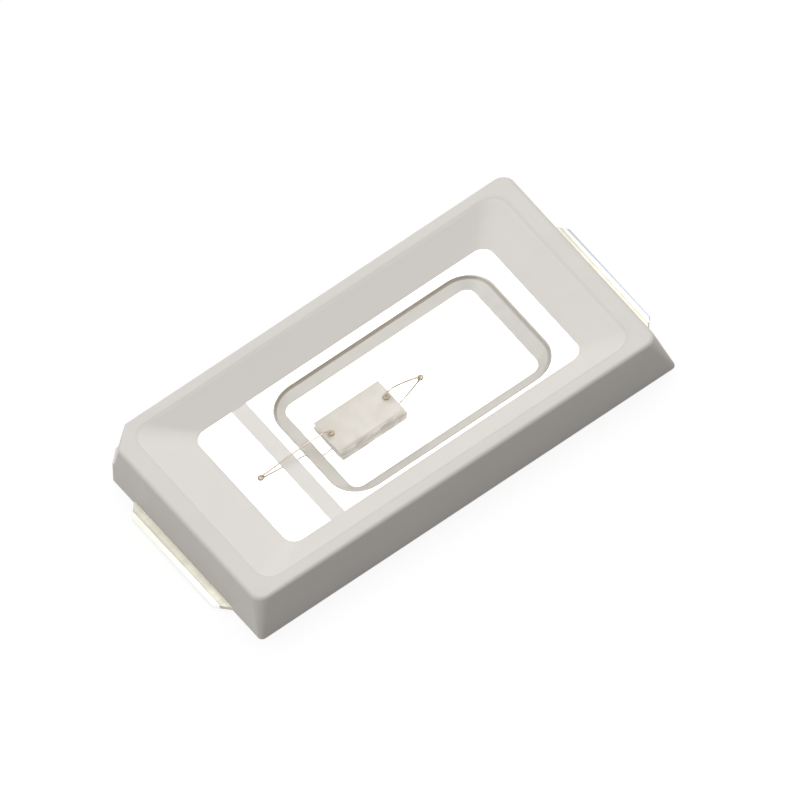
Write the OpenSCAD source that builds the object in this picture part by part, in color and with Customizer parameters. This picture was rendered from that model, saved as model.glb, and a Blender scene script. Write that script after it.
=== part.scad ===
// Surface-mount LED in a moulded package: a white body is moulded round two silver-plated
// leads, the larger one stamped into a cup that holds the chip. Two fine wires join the chip
// to the leads, and clear resin fills the cavity.
// The length runs along X, the light leaves along +Z, and the solder faces lie on Z = 0.

/* [Package] */
// Length over both solder terminals
overall_l = 5.7; // [5.6:0.1:6.3]
// Width of the moulded body at its base
body_w = 3.0; // [2.8:0.1:3.6]
// Height of the moulded body
body_h = 0.58; // [0.54:0.02:0.7]
// How far each terminal stands out of the body at its base
terminal_out = 0.14; // [0.06:0.01:0.17]
// How far each end wall slopes in, from base to top
end_slope = 0.1; // [0.02:0.01:0.14]
// How far each side wall slopes in, from base to top
side_slope = 0.015; // [0.005:0.005:0.06]
// Radius of the upright corners at the base
base_corner_r = 0.06; // [0.04:0.01:0.2]
// Radius of the upright corners at the top
top_corner_r = 0.15; // [0.08:0.01:0.3]
// Radius of the top edges of the body
edge_r = 0.03; // [0.01:0.005:0.05]
// Wall left between the polarity mark and the cavity's mouth, across the corner beside the small lead
mark_wall = 0.11; // [0.08:0.01:0.16]
// Depth of the polarity mark, from the top of the body to its small ledge
mark_depth = 0.3; // [0.2:0.01:0.3]
// How far the wall of the polarity mark slopes out, from its top to its ledge
mark_slope = 0.12; // [0:0.01:0.12]
// How much of the corner below the ledge is cut off, across the corner
ledge_cut = 0.1; // [0.08:0.01:0.12]

/* [Cavity] */
// Depth of the cavity, from the rim to the leads
cavity_depth = 0.3; // [0.24:0.02:0.32]
// Length of the cavity floor
floor_l = 3.81; // [3.7:0.01:3.9]
// Width of the cavity floor
floor_w = 1.91; // [1.85:0.01:2.1]
// Offset of the cavity floor towards the large lead
floor_shift = 0.05; // [0:0.01:0.06]
// Width of the rim at each end
end_rim = 0.2; // [0.1:0.02:0.3]
// Width of the rim at each side
side_rim = 0.145; // [0.08:0.005:0.2]
// Corner radius of the cavity's mouth
mouth_r = 0.22; // [0.1:0.02:0.3]
// Corner radius of the cavity's floor
floor_r = 0.15; // [0.06:0.01:0.2]
// Radius of the rim's inner edge
lip_r = 0.025; // [0.01:0.005:0.03]
// Depth from the rim to the surface of the resin
fill_gap = 0.015; // [0.005:0.005:0.02]

/* [Leads] */
// Thickness of the lead sheet
sheet_t = 0.15; // [0.1:0.01:0.18]
// How far each lead runs on under the side walls
side_hold = 0.13; // [0.08:0.01:0.16]
// How far each lead runs on under the end walls before it bends down
end_hold = 0.08; // [0.04:0.01:0.12]
// Length of each bend
bend_l = 0.22; // [0.14:0.02:0.24]
// Length of the small lead that shows in the cavity
small_pad_l = 0.51; // [0.44:0.01:0.6]
// Width of the plastic bar between the leads
bar_w = 0.175; // [0.12:0.005:0.2]
// Width of each solder terminal
terminal_w = 1.94; // [1.6:0.02:2]
// Thickness of each solder terminal, which is pressed thinner than the sheet
terminal_t = 0.05; // [0.04:0.005:0.1]
// Length of the cut corners at each terminal's tip
tip_cut_l = 0.16; // [0.06:0.02:0.2]
// Width of the cut corners at each terminal's tip
tip_cut_w = 0.2; // [0.06:0.02:0.3]

/* [Cup] */
// Distance from the plastic bar to the cup's rim
cup_from_bar = 0.095; // [0.08:0.005:0.2]
// Distance from the end wall's foot to the cup's rim
cup_from_end = 0.21; // [0.1:0.01:0.4]
// Distance from the front wall's foot to the cup's rim
cup_from_front = 0.035; // [0.03:0.005:0.15]
// Distance from the back wall's foot to the cup's rim
cup_from_back = 0.11; // [0.03:0.01:0.15]
// Corner radius at the rim of the cup
cup_r = 0.38; // [0.3:0.02:0.5]
// Corner radius at the floor of the cup
cup_floor_r = 0.12; // [0.06:0.02:0.2]
// Width of the cup's sloping wall, seen from above
cup_slope = 0.17; // [0.13:0.01:0.2]
// Width of the sloping wall at the end of the cup that is away from the chip
cup_end_slope = 0.215; // [0.15:0.005:0.24]
// Radius that rounds the cup's rim
cup_lip_r = 0.035; // [0.015:0.005:0.04]

/* [Chip] */
// Length of the chip
chip_l = 0.84; // [0.7:0.01:1]
// Width of the chip
chip_w = 0.52; // [0.4:0.01:0.7]
// Height of the chip
chip_h = 0.13; // [0.1:0.01:0.16]
// Distance from the foot of the cup's wall to the chip
chip_from_wall = 0.14; // [0.06:0.01:0.2]
// Offset of the chip from the part's middle, along Y
chip_y = -0.02; // [-0.06:0.01:0.06]
// Thickness of the die adhesive
glue_t = 0.015; // [0.005:0.005:0.03]
// How far the adhesive spreads beyond the chip
glue_out = 0.025; // [0.01:0.005:0.04]
// Step of the etched top layer of the chip
mesa_h = 0.01; // [0.005:0.001:0.015]
// Width of the etched ledge round the top layer
mesa_in = 0.012; // [0.008:0.002:0.02]
// Diameter of each contact pad on the chip
contact_d = 0.08; // [0.08:0.005:0.1]
// Thickness of each contact pad
contact_t = 0.006; // [0.004:0.001:0.01]
// Distance from the chip's short edges to the middle of each contact pad
contact_in = 0.06; // [0.06:0.005:0.15]
// Offset of both contact pads from the chip's long axis
contact_y = 0.01; // [0:0.005:0.05]

/* [Wires] */
// Diameter of the bond wires
wire_d = 0.025; // [0.018:0.001:0.03]
// Diameter of the balls at the bonds
ball_d = 0.075; // [0.06:0.005:0.08]
// Height of the balls at the bonds
ball_h = 0.026; // [0.02:0.002:0.034]
// Pull of the loop above the chip, which sets how high the wire rises
loop_h = 0.2; // [0.16:0.01:0.24]
// Distance from the plastic bar to the bond on the small lead
small_bond_in = 0.255; // [0.12:0.005:0.36]
// Distance from the chip to the bond on the cup's floor
cup_bond_out = 0.385; // [0.2:0.005:0.5]
// Offset of both lead bonds from the middle, along Y
lead_bond_y = 0.02; // [-0.1:0.01:0.1]

/* [Hidden] */

PLASTIC = [0.86, 0.85, 0.83];
SILVER = [0.95, 0.94, 0.9];
GOLD = [0.72, 0.66, 0.56];

// Pieces in each quarter turn of a rounded corner
CORNER_STEPS = 8;
// Pieces in each small rounded edge
EDGE_STEPS = 4;
// Pieces in each bend of a lead
BEND_STEPS = 10;
// Sides and rings of a wire
WIRE_SIDES = 10;
WIRE_RINGS = 28;
// Pieces in the outline of a ball
BALL_STEPS = 6;
// How far a cut runs past the surface that it opens
CLEAR = 0.1;

body_l = overall_l - 2 * terminal_out;
top_l = body_l - 2 * end_slope;
top_w = body_w - 2 * side_slope;
mouth_l = top_l - 2 * end_rim;
mouth_w = top_w - 2 * side_rim;
fill_top = body_h - fill_gap;

// How far the polarity mark cuts in from the body's top corner, across the corner
mark_in = (end_rim + side_rim) / sqrt(2) + mouth_r * (sqrt(2) - 1) - lip_r - mark_wall;

// Top of the lead sheet in the cavity, and how far the sheet drops to the solder level
pad_top = body_h - cavity_depth;
drop = pad_top - sheet_t;

pad_w = floor_w + 2 * side_hold;
bend_x = floor_l / 2 + floor_shift + end_hold;
bar_left = floor_shift - floor_l / 2 + small_pad_l;
bar_right = bar_left + bar_w;

cup_left = bar_right + cup_from_bar;
cup_right = floor_shift + floor_l / 2 - cup_from_end;
cup_l = cup_right - cup_left;
cup_w = floor_w - cup_from_front - cup_from_back;
cup_x = (cup_left + cup_right) / 2;
cup_y = (cup_from_front - cup_from_back) / 2;

chip_left = cup_left + cup_slope + chip_from_wall;
chip_right = chip_left + chip_l;
chip_x = chip_left + chip_l / 2;
chip_base = sheet_t + glue_t;
chip_top = chip_base + chip_h;

left_contact = [chip_left + contact_in, chip_y + contact_y, chip_top];
right_contact = [chip_right - contact_in, chip_y + contact_y, chip_top - mesa_h];
small_bond = [bar_left - small_bond_in, lead_bond_y, pad_top];
cup_bond = [chip_right + cup_bond_out, lead_bond_y, sheet_t];

// Points of a rounded rectangle at height z, anticlockwise from the +X side
function rounded_ring(z, l, w, r) = [
    for (q = [0:3], i = [0:CORNER_STEPS])
        let (a = 90 * (q + i / CORNER_STEPS),
             sx = (q == 0 || q == 3) ? 1 : -1,
             sy = (q < 2) ? 1 : -1)
        [sx * (l / 2 - r) + r * cos(a), sy * (w / 2 - r) + r * sin(a), z]
];

// Steps round a quarter turn of radius r, as [rise, inset], from upright to level
function quarter_round(r) = [
    for (i = [0:EDGE_STEPS])
        let (a = 90 * i / EDGE_STEPS)
        [r * sin(a), r * (1 - cos(a))]
];

// Solid through a stack of closed rings with equally many points, the lowest ring first
module skin(rings) {
    n = len(rings[0]);
    last = len(rings) - 1;
    sides = [
        for (k = [0:last - 1], i = [0:n - 1])
            let (j = (i + 1) % n)
            [k * n + i, (k + 1) * n + i, (k + 1) * n + j, k * n + j]
    ];
    bottom = [for (i = [0:n - 1]) i];
    top = [for (i = [n - 1:-1:0]) last * n + i];
    polyhedron(points = [for (ring = rings) each ring], faces = concat([bottom, top], sides));
}

// A ring of the body at height z: its walls slope in, and inset pulls it in further
function body_ring(z, inset) =
    let (u = z / body_h)
    rounded_ring(z,
                 body_l - 2 * end_slope * u - 2 * inset,
                 body_w - 2 * side_slope * u - 2 * inset,
                 base_corner_r + u * (top_corner_r - base_corner_r) - inset);

// The moulded block: sloping walls, rounded upright corners and a rounded top edge
module body_block() {
    skin(concat(
        [body_ring(0, 0)],
        [for (s = quarter_round(edge_r)) body_ring(body_h - edge_r + s[0], s[1])]));
}

// The polarity mark: one corner is cut off, down to a small ledge, and cut less below it
module polarity_mark() {
    out = 2 * mark_in;
    ledge = body_h - mark_depth;
    over = mark_slope * CLEAR / mark_depth;
    corner_out = (end_slope + side_slope) / sqrt(2) / body_h;
    translate([-top_l / 2, top_w / 2, 0])
        rotate([0, 0, 135])
            rotate([90, 0, 0])
                linear_extrude(2 * out, center = true)
                    polygon([
                        [corner_out * (body_h + CLEAR) - ledge_cut, -CLEAR],
                        [out, -CLEAR],
                        [out, body_h + CLEAR],
                        [-mark_in - over, body_h + CLEAR],
                        [mark_slope - mark_in, ledge],
                        [corner_out * mark_depth - ledge_cut, ledge]]);
}

// A ring of the cavity at height z: its walls lean out from the floor to the mouth
function cavity_ring(z, flare) =
    let (u = (z - pad_top) / cavity_depth,
         l = floor_l + u * (mouth_l - floor_l) + 2 * flare,
         w = floor_w + u * (mouth_w - floor_w) + 2 * flare,
         r = floor_r + u * (mouth_r - floor_r) + flare)
    [for (p = rounded_ring(z, l, w, r)) p + [(1 - u) * floor_shift, 0, 0]];

// The cavity, open at the top, with its inner edge rounded over
module cavity() {
    skin(concat(
        [cavity_ring(pad_top, 0)],
        [for (s = quarter_round(lip_r)) cavity_ring(body_h - lip_r + s[0], s[1])],
        [[for (p = cavity_ring(body_h, lip_r)) p + [0, 0, CLEAR]]]));
}

// Side profile of a lead: flat under the cavity, then bent down to the solder level and
// pressed thinner on the way
function lead_profile(x0) =
    let (fall = [for (i = [0:BEND_STEPS])
            let (u = i / BEND_STEPS)
            [bend_x + bend_l * u, (1 - cos(180 * u)) / 2]],
         tip = overall_l / 2)
    concat(
        [[x0, drop]],
        [for (p = fall) [p[0], drop * (1 - p[1])]],
        [[tip, 0], [tip, terminal_t]],
        [for (i = [BEND_STEPS:-1:0])
            [fall[i][0], pad_top + (terminal_t - pad_top) * fall[i][1]]],
        [[x0, pad_top]]);

// Outline of a lead seen from above, with the cut corners of its terminal
function lead_outline(x0) =
    let (tip = overall_l / 2,
         neck = (pad_w - terminal_w) / 2,
         half = [[x0, pad_w / 2], [bend_x, pad_w / 2], [bend_x + neck, terminal_w / 2],
                 [tip - tip_cut_l, terminal_w / 2], [tip, terminal_w / 2 - tip_cut_w]])
    concat([for (p = half) [p[0], -p[1]]],
           [for (i = [len(half) - 1:-1:0]) half[i]]);

// A lead towards +X, from its inner edge at x0 to its terminal's tip
module lead_sheet(x0) {
    intersection() {
        rotate([90, 0, 0])
            linear_extrude(pad_w, center = true)
                polygon(lead_profile(x0));
        linear_extrude(pad_top)
            polygon(lead_outline(x0));
    }
}

// A ring of the cup at height z: inset pulls it in from the rim, and does so in proportion to
// the wall's width at the end away from the chip; r is its corner radius
function cup_ring(z, inset, r) =
    let (end_inset = inset * cup_end_slope / cup_slope,
         l = cup_l - inset - end_inset,
         shift = (inset - end_inset) / 2)
    [for (p = rounded_ring(z, l, cup_w - 2 * inset, r)) p + [cup_x + shift, cup_y, 0]];

// Hollow of the cup: its corners open out from tight at the floor to wide at the rim
module cup_hollow() {
    skin(concat(
        [cup_ring(sheet_t, cup_slope, cup_floor_r)],
        [for (s = quarter_round(cup_lip_r))
            cup_ring(pad_top - cup_lip_r + s[0], cup_lip_r - s[1], cup_r - cup_lip_r + s[1])],
        [cup_ring(pad_top + CLEAR, 0, cup_r)]));
}

// Outside of the cup, pressed down below the sheet to lie flush with the solder level
module cup_boss() {
    skin([
        cup_ring(0, cup_slope, cup_floor_r),
        cup_ring(drop, 0, cup_r),
        cup_ring(drop + sheet_t / 2, 0, cup_r)]);
}

// The large lead before its cup is hollowed out
module large_lead_blank() {
    lead_sheet(bar_right);
    cup_boss();
}

module small_lead_blank() {
    mirror([1, 0, 0])
        lead_sheet(-bar_left);
}

module housing() {
    color(PLASTIC)
        difference() {
            body_block();
            polarity_mark();
            cavity();
            large_lead_blank();
            small_lead_blank();
        }
}

module large_lead() {
    color(SILVER)
        difference() {
            large_lead_blank();
            cup_hollow();
        }
}

module small_lead() {
    color(SILVER)
        small_lead_blank();
}

// Adhesive under the chip, with a small sloping bead round it
module die_attach() {
    color([0.9, 0.9, 0.85])
        translate([chip_x, chip_y, 0])
            skin([
                rounded_ring(sheet_t, chip_l + 2 * glue_out, chip_w + 2 * glue_out, 2 * glue_out),
                rounded_ring(chip_base, chip_l + glue_out / 2, chip_w + glue_out / 2, glue_out)]);
}

// The chip: a clear block whose top layer is etched back at the edges and round one contact
module chip() {
    color([0.86, 0.85, 0.8])
        difference() {
            translate([chip_x, chip_y, chip_base]) {
                linear_extrude(chip_h - mesa_h)
                    square([chip_l, chip_w], center = true);
                linear_extrude(chip_h)
                    square([chip_l - 2 * mesa_in, chip_w - 2 * mesa_in], center = true);
            }
            translate(right_contact)
                cylinder(h = mesa_h + CLEAR, d = contact_d + 2 * mesa_in, $fn = 32);
        }
}

module contact(at) {
    color([0.62, 0.5, 0.36])
        translate(at)
            cylinder(h = contact_t, d = contact_d, $fn = 32);
}

// A squashed ball of gold, flat underneath, with its belly below half its height
module bond_ball() {
    foot_angle = 40;
    crown_angle = 80;
    belly_h = 0.4 * ball_h;
    function height(a) = belly_h + sin(a) * (a < 0 ? belly_h / sin(foot_angle) : ball_h - belly_h);
    outline = [
        for (i = [0:BALL_STEPS])
            let (a = -foot_angle + (foot_angle + crown_angle) * i / BALL_STEPS)
            [ball_d / 2 * cos(a), max(0, height(a))]
    ];
    rotate_extrude($fn = 32)
        polygon(concat([[0, 0]], outline, [[0, ball_h]]));
}

function bezier(p, t) =
    pow(1 - t, 3) * p[0] + 3 * t * pow(1 - t, 2) * p[1] + 3 * t * t * (1 - t) * p[2] + pow(t, 3) * p[3];

// Handles of a wire's curve: straight up out of its ball, over, and down to the lead
function wire_handles(from, to) =
    let (reach = 0.45,
         shoulder = 0.4)
    [from,
     from + [0, 0, loop_h],
     [from[0] + reach * (to[0] - from[0]), (from[1] + to[1]) / 2, from[2] + shoulder * loop_h],
     to];

// Rings of points round a curve that keeps near an upright plane along X
function wire_rings(p) = [
    for (k = [0:WIRE_RINGS])
        let (t = k / WIRE_RINGS,
             nudge = 0.001,
             along = bezier(p, t + nudge) - bezier(p, t - nudge),
             across = cross([0, 1, 0], along),
             side = across / norm(across),
             up = cross(along, side) / norm(along))
        [for (i = [0:WIRE_SIDES - 1])
            let (a = 360 * i / WIRE_SIDES)
            bezier(p, t) + wire_d / 2 * (cos(a) * side + sin(a) * up)]
];

// A wire from the middle of the ball on a contact to the top of the ball on a lead
module wire(contact_at, lead_at) {
    start = contact_at + [0, 0, contact_t + ball_h / 2];
    finish = lead_at + [0, 0, ball_h];
    skin(wire_rings(wire_handles(start, finish)));
}

module wire_with_ball(contact_at, lead_at) {
    color(GOLD) {
        wire(contact_at, lead_at);
        translate(contact_at + [0, 0, contact_t])
            bond_ball();
    }
}

// A ball on a lead, with the wire's end pressed into it
module lead_ball(contact_at, lead_at) {
    color(GOLD)
        difference() {
            translate(lead_at)
                bond_ball();
            wire(contact_at, lead_at);
        }
}

module contact_left() {
    contact(left_contact);
}

module contact_right() {
    contact(right_contact);
}

module wire_small_lead() {
    wire_with_ball(left_contact, small_bond);
}

module wire_cup() {
    wire_with_ball(right_contact, cup_bond);
}

module bond_ball_small_lead() {
    lead_ball(left_contact, small_bond);
}

module bond_ball_cup() {
    lead_ball(right_contact, cup_bond);
}

// What the resin can fill: the cavity up to the resin's surface, and the cup below it
module resin_space() {
    intersection() {
        union() {
            cavity();
            cup_hollow();
        }
        translate([-mouth_l / 2, -mouth_w / 2, 0])
            cube([mouth_l, mouth_w, fill_top]);
    }
}

// Clear resin round everything that stands in the cavity
module encapsulant() {
    color([0.95, 0.95, 0.93, 0.3])
        difference() {
            resin_space();
            die_attach();
            chip();
            contact_left();
            contact_right();
            wire_small_lead();
            wire_cup();
            translate(small_bond)
                bond_ball();
            translate(cup_bond)
                bond_ball();
        }
}

housing();
large_lead();
small_lead();
die_attach();
chip();
contact_left();
contact_right();
wire_small_lead();
wire_cup();
bond_ball_small_lead();
bond_ball_cup();
encapsulant();
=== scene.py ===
"""A slim white surface-mount LED: moulded body, cup lead, bare chip, bond wires and clear resin."""

import math
from collections import namedtuple

import bmesh
import bpy
from mathutils import Matrix, Vector


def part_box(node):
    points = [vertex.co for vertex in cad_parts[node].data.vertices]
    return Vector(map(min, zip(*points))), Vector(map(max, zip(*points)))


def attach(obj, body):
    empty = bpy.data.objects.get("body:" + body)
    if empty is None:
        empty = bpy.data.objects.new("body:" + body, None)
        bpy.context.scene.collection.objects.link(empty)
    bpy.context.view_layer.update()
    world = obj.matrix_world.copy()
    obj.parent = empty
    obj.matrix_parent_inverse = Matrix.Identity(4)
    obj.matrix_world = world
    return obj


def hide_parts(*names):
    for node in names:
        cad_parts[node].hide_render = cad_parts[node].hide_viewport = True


bl_info = {
    "name": "Surface-Mount LED",
    "version": (1, 0, 0),
    "blender": (4, 5, 0),
    "location": "3D View > Sidebar > LED",
    "description": "Models a slim white LED package with its leads, chip, wires and clear resin",
    "category": "Add Mesh",
}

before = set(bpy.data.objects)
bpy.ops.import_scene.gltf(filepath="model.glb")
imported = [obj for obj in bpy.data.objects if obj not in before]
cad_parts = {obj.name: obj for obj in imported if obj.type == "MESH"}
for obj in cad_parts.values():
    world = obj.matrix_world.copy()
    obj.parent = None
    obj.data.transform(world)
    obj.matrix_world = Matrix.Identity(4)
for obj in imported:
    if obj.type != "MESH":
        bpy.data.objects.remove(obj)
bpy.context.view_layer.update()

# Lengths are in metres
MM = 0.001
UM = 0.000001

# Lowest and highest corners of the pieces whose sizes and places are taken from the frame
BODY_LOW, BODY_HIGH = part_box("housing")
LARGE_LOW, LARGE_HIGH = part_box("large_lead")
_, SMALL_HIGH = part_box("small_lead")
CHIP_LOW, CHIP_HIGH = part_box("chip")
GLUE_LOW, GLUE_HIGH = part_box("die_attach")
_, RESIN_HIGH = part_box("encapsulant")


# Settings

def size(name, description, default):
    """A length that a user can change, in metres."""
    return bpy.props.FloatProperty(name=name, description=description, default=default, unit="LENGTH")


def angle(name, description, degrees):
    """An angle that a user can change."""
    return bpy.props.FloatProperty(
        name=name, description=description, default=math.radians(degrees), subtype="ANGLE")


def share(name, description, default):
    """A share from 0 to 1 that a user can change."""
    return bpy.props.FloatProperty(
        name=name, description=description, default=default, min=0, max=1, subtype="FACTOR")


def power(name, description, default):
    """A lamp's power that a user can change, in watts."""
    return bpy.props.FloatProperty(name=name, description=description, default=default, unit="POWER")


def colour(name, description, default):
    """A colour that a user can change."""
    return bpy.props.FloatVectorProperty(
        name=name, description=description, default=default, size=3, min=0, max=1, subtype="COLOR")


class BodySettings(bpy.types.PropertyGroup):
    """Sizes and colours of the moulded body"""

    length: size("Length", "Length of the body at its base", BODY_HIGH.x - BODY_LOW.x)
    width: size("Width", "Width of the body at its base", BODY_HIGH.y - BODY_LOW.y)
    height: size("Height", "Height of the body", BODY_HIGH.z)
    end_slope: size("End slope", "How far each end wall slopes in, from base to top", 0.1 * MM)
    side_slope: size("Side slope", "How far each side wall slopes in, from base to top", 0.015 * MM)
    base_radius: size("Base radius", "Radius of the upright corners at the base", 0.06 * MM)
    top_radius: size("Top radius", "Radius of the upright corners at the top", 0.15 * MM)
    edge_radius: size("Edge radius", "Radius of the outer top edge", 0.045 * MM)
    foot_radius: size("Foot radius", "Radius of the outer bottom edge", 0.008 * MM)
    mark_wall: size("Mark wall", "Wall left between the polarity mark and the cavity's mouth", 0.11 * MM)
    mark_depth: size("Mark depth", "Depth of the polarity mark, down to its ledge", 0.3 * MM)
    mark_slope: size("Mark slope", "How far the mark's wall slopes out, down to its ledge", 0.12 * MM)
    ledge_cut: size("Ledge cut", "How much of the corner below the ledge is cut off", 0.1 * MM)
    end_rim: size("End rim", "Width of the rim at each end", 0.2 * MM)
    side_rim: size("Side rim", "Width of the rim at each side", 0.145 * MM)
    lip_radius: size("Lip radius", "Radius of the rim's inner edge", 0.025 * MM)
    mouth_radius: size("Mouth radius", "Corner radius of the cavity's mouth", 0.22 * MM)
    floor_length: size("Floor length", "Length of the cavity's floor", 3.81 * MM)
    floor_width: size("Floor width", "Width of the cavity's floor", 1.91 * MM)
    floor_shift: size("Floor shift", "Offset of the floor towards the large lead", 0.05 * MM)
    floor_radius: size("Floor radius", "Corner radius of the cavity's floor", 0.15 * MM)
    relief: size("Relief", "How far the plastic stays short of the leads' open faces", 0.002 * MM)
    tint: colour("Plastic", "Colour of the white plastic", (0.845, 0.806, 0.758))


class LeadSettings(bpy.types.PropertyGroup):
    """Sizes and colours of the two leads and the cup"""

    top: size("Top", "Height of the leads' upper face in the cavity", LARGE_HIGH.z)
    thickness: size("Thickness", "Thickness of the lead sheet", 0.15 * MM)
    pad_width: size("Pad width", "Width of each lead inside the body", LARGE_HIGH.y - LARGE_LOW.y)
    bend_start: size("Bend start", "Distance from the middle to where each lead bends down", 2.035 * MM)
    bend_length: size("Bend length", "Length of each bend", 0.22 * MM)
    terminal_width: size("Terminal width", "Width of each solder terminal", 1.94 * MM)
    terminal_thickness: size("Terminal thickness", "Thickness of each pressed terminal", 0.05 * MM)
    cut_length: size("Cut length", "Length of the cut corners at each tip", 0.16 * MM)
    cut_width: size("Cut width", "Width of the cut corners at each tip", 0.2 * MM)
    edge_radius: size("Edge radius", "Radius left on the stamped edges", 0.01 * MM)
    cup_length: size("Cup length", "Length of the cup at its rim", 2.82 * MM)
    cup_width: size("Cup width", "Width of the cup at its rim", 1.765 * MM)
    cup_x: size("Cup along", "Place of the cup's middle along the length", 0.335 * MM)
    cup_y: size("Cup across", "Place of the cup's middle across the width", -0.0375 * MM)
    cup_radius: size("Cup radius", "Corner radius at the rim of the cup", 0.38 * MM)
    cup_floor_radius: size("Cup floor radius", "Corner radius at the floor of the cup", 0.12 * MM)
    cup_slope: size("Cup slope", "Width of the cup's sloping wall", 0.17 * MM)
    cup_end_slope: size("Cup end slope", "Width of the sloping wall away from the chip", 0.215 * MM)
    cup_lip: size("Cup lip", "Radius that rounds the cup's rim", 0.035 * MM)
    # The terminals are painted darker next to the body as shade, and a darker painted line ends that
    # band
    shade_band_reach: size("Stain reach", "How far the mould's stain reaches onto each terminal", 0.08 * MM)
    tint: colour("Silver", "Colour of the silver plating", (0.965, 0.95, 0.92))
    # Painted shade on the terminals next to the body
    painted_shade_tint: colour("Painted shade", "Colour of the terminals next to the body", (0.51, 0.495, 0.42))
    edge_tint: colour("Edge", "Colour of the terminals at their tips", (0.97, 0.96, 0.86))
    # Painted shade: a dark line along the large lead's tip
    painted_tip_shade_tint: colour("Painted dark edge", "Colour along the large lead's sheared tip", (0.45, 0.475, 0.51))
    # Painted reflection: the cup's walls are greyer than its floor, as the grey walls round them would
    # show in the silver
    painted_wall_reflection_tint: colour("Walls", "Colour of the cup's coined walls", (0.70, 0.685, 0.65))
    # Painted reflection: a dark line on the cup's rounded lip
    painted_lip_reflection_tint: colour("Painted lip reflection", "Colour of the cup's rounded lip", (0.36, 0.31, 0.245))


class ChipSettings(bpy.types.PropertyGroup):
    """Sizes and colours of the chip, its contacts and its adhesive"""

    mesa_height: size("Mesa height", "Step of the etched top layer", 0.01 * MM)
    mesa_inset: size("Mesa inset", "Width of the etched ledge round the top layer", 0.012 * MM)
    recess: size("Recess", "Diameter of the etched recess round the right contact", 0.104 * MM)
    edge_radius: size("Edge radius", "Radius of the chip's edges", 0.003 * MM)
    tint: colour("Crystal", "Colour of the chip's top", (0.775, 0.72, 0.63))
    # Painted light: the chip's sides are lighter than its top, as the light and reflection that the
    # clear crystal shows
    painted_light_side_tint: colour("Sides", "Colour of the chip's sides", (0.93, 0.90, 0.86))
    bloom_tint: colour("Bloom", "Colour of the stain by the contacts", (0.72, 0.56, 0.34))
    contact_tint: colour("Contact", "Colour of the contacts", (0.42, 0.28, 0.17))
    glue_tint: colour("Adhesive", "Colour of the die adhesive", (0.90, 0.87, 0.82))


class WireSettings(bpy.types.PropertyGroup):
    """Sizes and colour of the bond wires"""

    diameter: size("Diameter", "Diameter of the wires", 0.025 * MM)
    ball_diameter: size("Ball diameter", "Diameter of the balls at the bonds", 0.075 * MM)
    ball_height: size("Ball height", "Height of the balls at the bonds", 0.026 * MM)
    loop: size("Loop", "Pull of the loop above the chip", 0.2 * MM)
    tint: colour("Wire", "Colour of the wires", (0.70, 0.63, 0.51))
    ball_tint: colour("Balls", "Colour of the balls at the bonds", (0.42, 0.33, 0.24))


class ResinSettings(bpy.types.PropertyGroup):
    """Sizes and colour of the clear resin"""

    fill: size("Fill", "Height of the resin's edge", RESIN_HIGH.z)
    dip: size("Dip", "How far the resin's surface sinks in the middle", 0.008 * MM)
    hold: size("Hold", "How far the resin reaches into what it wets", 0.003 * MM)
    ior: bpy.props.FloatProperty(name="IOR", description="Refractive index of the resin", default=1.45)
    tint: colour("Resin", "Colour of the resin", (1.0, 1.0, 0.995))


class StageSettings(bpy.types.PropertyGroup):
    """Camera, lamps, floor and surroundings"""

    azimuth: angle("Azimuth", "Direction that the camera looks from, about the upright axis", -20.197)
    elevation: angle("Elevation", "Height of the camera above the horizon", 51.522)
    roll: angle("Roll", "Turn of the picture about the line of sight", -17.414)
    view_width: size("View width", "Width that the picture shows", 8.4903 * MM)
    aim_right: size("Aim right", "How far the picture's middle lies right of the origin", 0.0895 * MM)
    aim_up: size("Aim up", "How far the picture's middle lies above the origin", 0.2081 * MM)
    camera_distance: size("Camera distance", "Distance of the camera from the part", 60 * MM)
    lamp_distance: size("Lamp distance", "Distance of both lamps from the part", 120 * MM)
    key_size: size("Key size", "Diameter of the large soft lamp", 150 * MM)
    key_power: power("Key power", "Power of the large soft lamp", 0.096)
    fill_size: size("Fill size", "Diameter of the side lamp", 40 * MM)
    fill_power: power("Fill power", "Power of the side lamp", 0.0185)
    sky: share("Sky", "Strength of the light from all round", 0.29)
    floor_size: size("Floor size", "Width of the floor", 1200 * MM)
    floor_grey: share("Floor", "How much light the floor throws back", 0.35)
    shadow_grey: share("Shadow", "How strongly light and shadow show on the seen floor", 0.2)
    floor_glow: share("Glow", "Brightness that the seen floor has of its own", 0.86)


# Modelling

# How many times its size a loft is made
ENLARGED = 1000

# Steps round an upright corner, over a rounded edge and along a lead's bend
CORNER_STEPS = 10
ROUND_STEPS = 5
BEND_STEPS = 12

# The sharpest turn, in degrees, that is shaded as a curve, and the one past which an edge is rounded
SMOOTH_TURN = 35
SHARP_TURN = 40

# How closely a face's normal follows an axis where the face is picked by its side
FACING = 0.9

# How far a cutter reaches past what it cuts
CLEAR = 0.1 * MM

# A level outline: its height, its length and width, its corner radius and its middle
Outline = namedtuple("Outline", "z length width radius x y", defaults=(0, 0))


def select_nothing():
    bpy.ops.object.select_all(action="DESELECT")


def make_active(piece):
    """Selects one object alone."""
    select_nothing()
    piece.select_set(True)
    bpy.context.view_layer.objects.active = piece


def select_parts(piece, parts, test):
    """In edit mode, selects just the faces or edges that pass the test."""
    bpy.ops.mesh.select_all(action="DESELECT")
    bpy.ops.mesh.select_mode(type="FACE" if parts == "faces" else "EDGE")
    mesh = bmesh.from_edit_mesh(piece.data)
    for part in getattr(mesh, parts):
        if test(part):
            part.select_set(True)
    mesh.select_flush_mode()
    bmesh.update_edit_mesh(piece.data)


def apply_modifier(piece, kind, **settings):
    """Adds a modifier with these settings and applies it."""
    make_active(piece)
    modifier = piece.modifiers.new(kind.title(), kind)
    for name, value in settings.items():
        setattr(modifier, name, value)
    bpy.ops.object.modifier_apply(modifier=modifier.name)


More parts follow.
